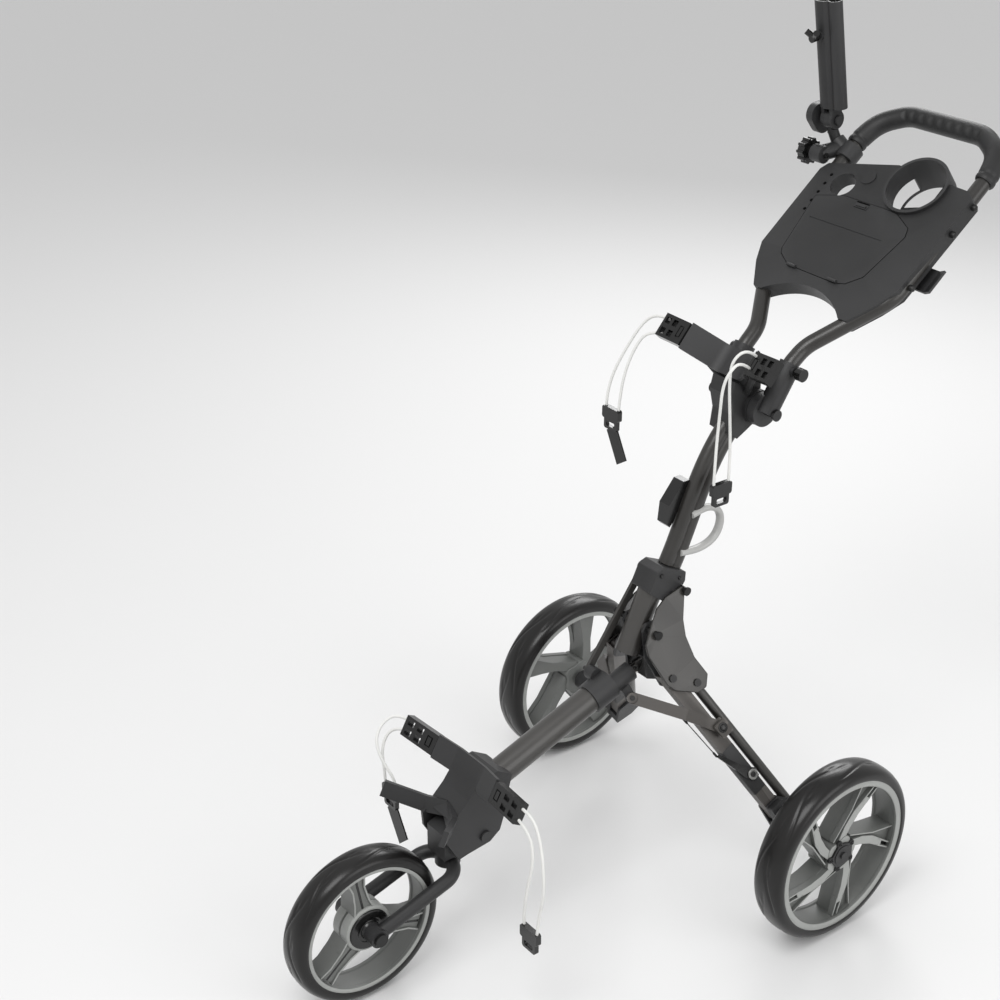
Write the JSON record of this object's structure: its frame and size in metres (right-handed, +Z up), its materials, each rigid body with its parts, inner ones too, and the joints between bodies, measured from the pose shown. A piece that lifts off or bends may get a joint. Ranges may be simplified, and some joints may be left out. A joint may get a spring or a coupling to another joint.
{
  "type": "golf push trolley",
  "caption": "Folding golf push trolley with a curved mast, bag cradles with elastic cords, a loop handle with a console, and an umbrella holder.",
  "frame": {"origin": "middle of the trolley's footprint box, at floor level", "axes": "+Z up, -Y forward towards the front wheel, +X to the right seen from the front"},
  "size_m": [0.6918, 1.2458, 1.3073],
  "materials": {
    "frame_paint": "satin gunmetal",
    "plastic": "fine grain",
    "gloss_black": "glossy",
    "rim_grey": "satin",
    "tyre": "semi-gloss",
    "steel": "brushed",
    "polished": "polished",
    "grip_rubber": "matte",
    "clear_loop": "satin",
    "cord": "woven",
    "alloy": "anodised dark"
  },
  "bodies": {
    "chassis": {"hub_casting": "plastic", "guide_rod": "polished", "side_plate_right": "frame_paint", "side_plate_left": "frame_paint", "chassis_bolts": "steel"},
    "mast": {"knee_tube": "frame_paint", "mast_collar": "plastic", "mast_tube": "frame_paint", "upper_cradle": "plastic", "upper_clip_plates": "gloss_black", "pull_loop": "clear_loop", "mast_bumper": "gloss_black", "hinge_bolt": "gloss_black", "cord_upper_right": "cord", "hook_upper_right": "gloss_black", "cord_upper_left": "cord", "hook_upper_left": "gloss_black"},
    "link": {"link_bar": "frame_paint"},
    "front_frame": {"front_tube": "frame_paint", "slide_collar": "plastic", "slide_sleeve": "plastic", "lower_cradle": "plastic", "lower_clip_plates": "gloss_black", "bag_foot": "plastic", "cord_lower_right": "cord", "hook_lower_right": "gloss_black", "cord_lower_left": "cord", "hook_lower_left": "gloss_black"},
    "nose": {"nose_block": "plastic"},
    "fork": {"front_fork": "plastic", "front_axle": "steel"},
    "front_wheel": {"front_rim": "rim_grey", "front_tyre": "tyre"},
    "handle": {"handle_tube": "frame_paint", "handle_grip": "grip_rubber", "hinge_cheeks": "plastic", "console": "plastic", "umbrella_clamp": "plastic"},
    "lid": {"console_lid": "plastic"},
    "latch": {"lid_latch": "plastic"},
    "brake_lever": {"brake_lever": "plastic"},
    "hinge_knob": {"hinge_knob": "gloss_black"},
    "umbrella": {"umbrella_tube": "plastic"},
    "tilt_knob": {"tilt_knob": "plastic"},
    "clamp_knob": {"clamp_knob": "gloss_black"},
    "wing_screw": {"wing_screw": "gloss_black"},
    "leg_right": {"leg_tube_right": "alloy"},
    "outer_rod_right": {"leg_rod_right": "frame_paint"},
    "carrier_right": {"wheel_carrier_right": "plastic"},
    "brace_right": {"strut_right": "alloy"},
    "brake_right": {"brake_arm_right": "gloss_black"},
    "rear_wheel_right": {"rear_rim_right": "rim_grey", "rear_tyre_right": "tyre"},
    "leg_left": {"leg_tube_left": "alloy"},
    "outer_rod_left": {"leg_rod_left": "frame_paint"},
    "carrier_left": {"wheel_carrier_left": "plastic"},
    "brace_left": {"strut_left": "alloy"},
    "brake_left": {"brake_arm_left": "gloss_black"},
    "rear_wheel_left": {"rear_rim_left": "rim_grey", "rear_tyre_left": "tyre"}
  },
  "joints": [
    {"name": "mast_fold", "type": "hinge", "parent": "chassis", "child": "mast", "pos_m": [0, 0.00355, 0.438], "axis": [1, 0, 0], "range_deg": [0, 124]},
    {"name": "front_slide", "type": "slide", "parent": "chassis", "child": "front_frame", "axis": [0, -0.9397, -0.342], "range_m": [0, 0.1606]},
    {"name": "link_pivot", "type": "hinge", "parent": "front_frame", "child": "link", "pos_m": [-0.028, -0.06945, 0.368], "axis": [1, 0, 0], "range_deg": [-17.8, 0]},
    {"name": "leg_swing_right", "type": "hinge", "parent": "chassis", "child": "leg_right", "pos_m": [0.06247, 0.01449, 0.36673], "axis": [-0.8949, 0.1526, -0.4193], "range_deg": [0, 68.51]},
    {"name": "rod_swing_right", "type": "hinge", "parent": "chassis", "child": "outer_rod_right", "pos_m": [0.07612, 0.05326, 0.3517], "axis": [-0.8949, 0.1526, -0.4193], "range_deg": [0, 68.51]},
    {"name": "carrier_swing_right", "type": "hinge", "parent": "leg_right", "child": "carrier_right", "pos_m": [0.18709, 0.13578, 0.14488], "axis": [0.8949, -0.1526, 0.4193], "range_deg": [0, 68.51]},
    {"name": "brace_swing_right", "type": "hinge", "parent": "front_frame", "child": "brace_right", "pos_m": [0.03, -0.02885, 0.331], "axis": [0.7272, -0.4727, 0.4977], "range_deg": [0, 24.74]},
    {"name": "brake_arm_right", "type": "hinge", "parent": "leg_right", "child": "brake_right", "pos_m": [0.15546, 0.10928, 0.20276], "axis": [-0.8949, 0.1526, -0.4193], "range_deg": [0, 8]},
    {"name": "rear_wheel_spin_right", "type": "hinge", "parent": "carrier_right", "child": "rear_wheel_right", "pos_m": [0.3184, 0.13355, 0.146], "axis": [1, 0, 0], "continuous": true},
    {"name": "leg_swing_left", "type": "hinge", "parent": "chassis", "child": "leg_left", "pos_m": [-0.06247, 0.01449, 0.36673], "axis": [-0.8949, -0.1526, 0.4193], "range_deg": [0, 68.51]},
    {"name": "rod_swing_left", "type": "hinge", "parent": "chassis", "child": "outer_rod_left", "pos_m": [-0.07612, 0.05326, 0.3517], "axis": [-0.8949, -0.1526, 0.4193], "range_deg": [0, 68.51]},
    {"name": "carrier_swing_left", "type": "hinge", "parent": "leg_left", "child": "carrier_left", "pos_m": [-0.18709, 0.13578, 0.14488], "axis": [0.8949, 0.1526, -0.4193], "range_deg": [0, 68.51]},
    {"name": "brace_swing_left", "type": "hinge", "parent": "front_frame", "child": "brace_left", "pos_m": [-0.03, -0.02885, 0.331], "axis": [0.7272, 0.4727, -0.4977], "range_deg": [0, 24.74]},
    {"name": "brake_arm_left", "type": "hinge", "parent": "leg_left", "child": "brake_left", "pos_m": [-0.15546, 0.10928, 0.20276], "axis": [-0.8949, -0.1526, 0.4193], "range_deg": [0, 8]},
    {"name": "rear_wheel_spin_left", "type": "hinge", "parent": "carrier_left", "child": "rear_wheel_left", "pos_m": [-0.3184, 0.13355, 0.146], "axis": [1, 0, 0], "continuous": true},
    {"name": "brake_lever_pull", "type": "hinge", "parent": "handle", "child": "brake_lever", "pos_m": [0.12, 0.41288, 0.93485], "axis": [1, 0, 0], "range_deg": [0, 12]},
    {"name": "nose_fold", "type": "hinge", "parent": "front_frame", "child": "nose", "pos_m": [0, -0.30745, 0.201], "axis": [1, 0, 0], "range_deg": [0, 130]},
    {"name": "fork_swivel", "type": "hinge", "parent": "nose", "child": "fork", "pos_m": [0, -0.35245, 0.177], "axis": [0, 0, 1], "range_deg": [-40, 40]},
    {"name": "front_wheel_spin", "type": "hinge", "parent": "fork", "child": "front_wheel", "pos_m": [0, -0.50245, 0.1204], "axis": [1, 0, 0], "continuous": true},
    {"name": "handle_fold", "type": "hinge", "parent": "mast", "child": "handle", "pos_m": [0, 0.20155, 0.757], "axis": [1, 0, 0], "range_deg": [-138, 0]},
    {"name": "hinge_knob_turn", "type": "hinge", "parent": "handle", "child": "hinge_knob", "pos_m": [0.06, 0.23605, 0.8176], "axis": [1, 0, 0], "range_deg": [0, 180]},
    {"name": "lid_open", "type": "hinge", "parent": "handle", "child": "lid", "pos_m": [0, 0.34314, 0.92906], "axis": [1, 0, 0], "range_deg": [0, 110]},
    {"name": "latch_slide", "type": "slide", "parent": "lid", "child": "latch", "axis": [0, 0.7716, 0.6361], "range_m": [0, 0.0025]},
    {"name": "umbrella_tilt", "type": "hinge", "parent": "handle", "child": "umbrella", "pos_m": [-0.16, 0.51555, 1.113], "axis": [1, 0, 0], "range_deg": [-45, 60]},
    {"name": "tilt_knob_turn", "type": "hinge", "parent": "handle", "child": "tilt_knob", "pos_m": [-0.16, 0.51555, 1.113], "axis": [1, 0, 0], "range_deg": [0, 90]},
    {"name": "clamp_knob_turn", "type": "hinge", "parent": "handle", "child": "clamp_knob", "pos_m": [-0.17, 0.49155, 1.06], "axis": [1, 0, 0], "range_deg": [0, 180]},
    {"name": "wing_screw_turn", "type": "hinge", "parent": "umbrella", "child": "wing_screw", "pos_m": [-0.16, 0.48892, 1.25045], "axis": [0, -0.9826, -0.1856], "range_deg": [0, 180]}
  ],
  "couplings": [
    {"joint": "front_slide", "follows": "mast_fold", "m_per_rad": 0.073974},
    {"joint": "link_pivot", "follows": "mast_fold", "ratio": -0.14117},
    {"joint": "leg_swing_right", "follows": "mast_fold", "ratio": 0.55008},
    {"joint": "rod_swing_right", "follows": "mast_fold", "ratio": 0.55008},
    {"joint": "carrier_swing_right", "follows": "mast_fold", "ratio": 0.55008},
    {"joint": "brace_swing_right", "follows": "mast_fold", "ratio": 0.1971},
    {"joint": "brake_arm_right", "follows": "brake_lever_pull", "ratio": 0.6},
    {"joint": "leg_swing_left", "follows": "mast_fold", "ratio": 0.55008},
    {"joint": "rod_swing_left", "follows": "mast_fold", "ratio": 0.55008},
    {"joint": "carrier_swing_left", "follows": "mast_fold", "ratio": 0.55008},
    {"joint": "brace_swing_left", "follows": "mast_fold", "ratio": 0.1971},
    {"joint": "brake_arm_left", "follows": "brake_lever_pull", "ratio": 0.6}
  ]
}
